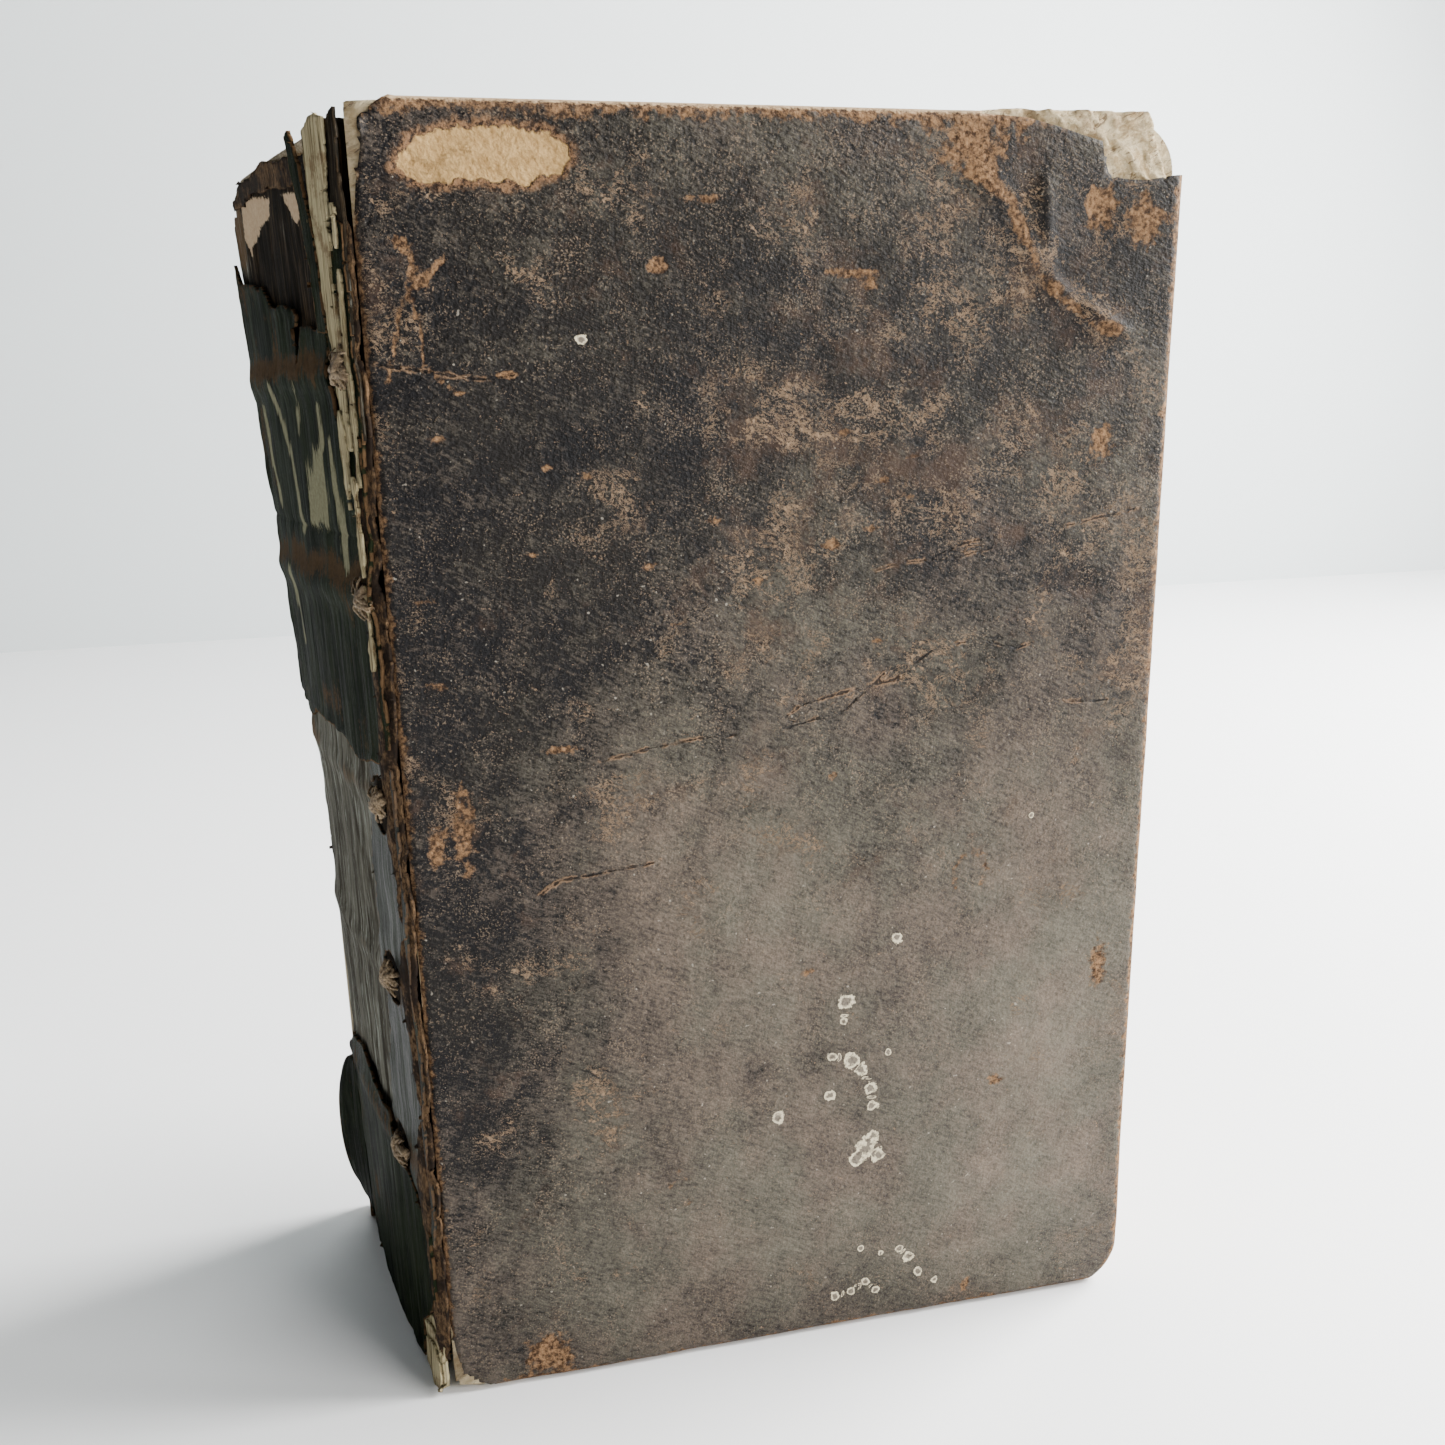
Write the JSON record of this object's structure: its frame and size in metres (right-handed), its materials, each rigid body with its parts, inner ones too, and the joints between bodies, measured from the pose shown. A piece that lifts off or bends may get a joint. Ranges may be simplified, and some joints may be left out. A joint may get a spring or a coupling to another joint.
{
  "type": "prayer book",
  "caption": "Thick old leather-bound prayer book, closed and upright, with hinged covers, turning endleaves, sewn gatherings and a torn slanting spine.",
  "frame": {"origin": "middle of the base of the overall box, on the surface the book stands on", "axes": "+X from the spine to the fore-edge, +Y from the front cover to the back cover, +Z from tail to head"},
  "size_m": [0.142, 0.058, 0.2],
  "materials": {
    "cover_leather": "worn, dark, satin in places",
    "spine_leather": "worn, green-black, creased",
    "pasteboard": "layered, fibrous, matte",
    "text_paper": "aged, matte",
    "endpaper": "aged, matte, foxed",
    "spine_lining": "fibrous, glue-stained",
    "cord": "frayed hemp",
    "thread": "linen",
    "endband": "wound linen over a core"
  },
  "bodies": {
    "text_block": {"gathering_01": "text_paper", "gathering_02": "text_paper", "gathering_03": "text_paper", "gathering_04": "text_paper", "gathering_05": "text_paper", "gathering_06": "text_paper", "gathering_07": "text_paper", "gathering_08": "text_paper", "gathering_09": "text_paper", "gathering_10": "text_paper", "gathering_11": "text_paper", "gathering_12": "text_paper", "gathering_13": "text_paper", "gathering_14": "text_paper", "gathering_15": "text_paper", "gathering_16": "text_paper", "sewing_cord_1": "cord", "sewing_cord_2": "cord", "sewing_cord_3": "cord", "sewing_cord_4": "cord", "sewing_cord_5": "cord", "kettle_stitches": "thread", "head_endband": "endband", "tail_endband": "endband", "spine_lining": "spine_lining", "spine_leather_upper": "spine_leather", "spine_leather_tail": "spine_leather", "front_joint_strip": "pasteboard"},
    "front_cover": {"front_cover_leather": "cover_leather", "front_board_outer_ply": "pasteboard", "front_board_inner_ply": "pasteboard", "front_cord_slips": "cord", "front_pastedown": "endpaper"},
    "back_cover": {"back_cover_leather": "cover_leather", "back_board_outer_ply": "pasteboard", "back_board_inner_ply": "pasteboard", "back_cord_slips": "cord", "back_pastedown": "endpaper"},
    "front_flyleaf": {"front_flyleaf": "endpaper"},
    "front_leaf_1": {"front_leaf_1": "endpaper"},
    "front_leaf_2": {"front_leaf_2": "endpaper"},
    "back_flyleaf": {"back_flyleaf": "endpaper"}
  },
  "joints": [
    {"name": "front_cover_swing", "type": "hinge", "parent": "text_block", "child": "front_cover", "pos_m": [-0.05, -0.029, 0.1], "axis": [0, 0, -1], "range_deg": [0, 175]},
    {"name": "back_cover_swing", "type": "hinge", "parent": "text_block", "child": "back_cover", "pos_m": [-0.06617, 0.029, 0.1], "axis": [0, 0, 1], "range_deg": [0, 175]},
    {"name": "front_flyleaf_turn", "type": "hinge", "parent": "text_block", "child": "front_flyleaf", "pos_m": [-0.0494, -0.02357, 0.099], "axis": [0, 0, -1], "range_deg": [0, 88]},
    {"name": "front_leaf_1_turn", "type": "hinge", "parent": "text_block", "child": "front_leaf_1", "pos_m": [-0.0494, -0.02302, 0.099], "axis": [0, 0, -1], "range_deg": [0, 64]},
    {"name": "front_leaf_2_turn", "type": "hinge", "parent": "text_block", "child": "front_leaf_2", "pos_m": [-0.0494, -0.02248, 0.099], "axis": [0, 0, -1], "range_deg": [0, 39]},
    {"name": "back_flyleaf_turn", "type": "hinge", "parent": "text_block", "child": "back_flyleaf", "pos_m": [-0.06472, 0.02357, 0.099], "axis": [0, 0, 1], "range_deg": [0, 88]}
  ],
  "couplings": [
    {"joint": "front_flyleaf_turn", "follows": "front_cover_swing", "ratio": 0.5},
    {"joint": "front_leaf_1_turn", "follows": "front_cover_swing", "ratio": 0.36},
    {"joint": "front_leaf_2_turn", "follows": "front_cover_swing", "ratio": 0.22},
    {"joint": "back_flyleaf_turn", "follows": "back_cover_swing", "ratio": 0.5}
  ]
}
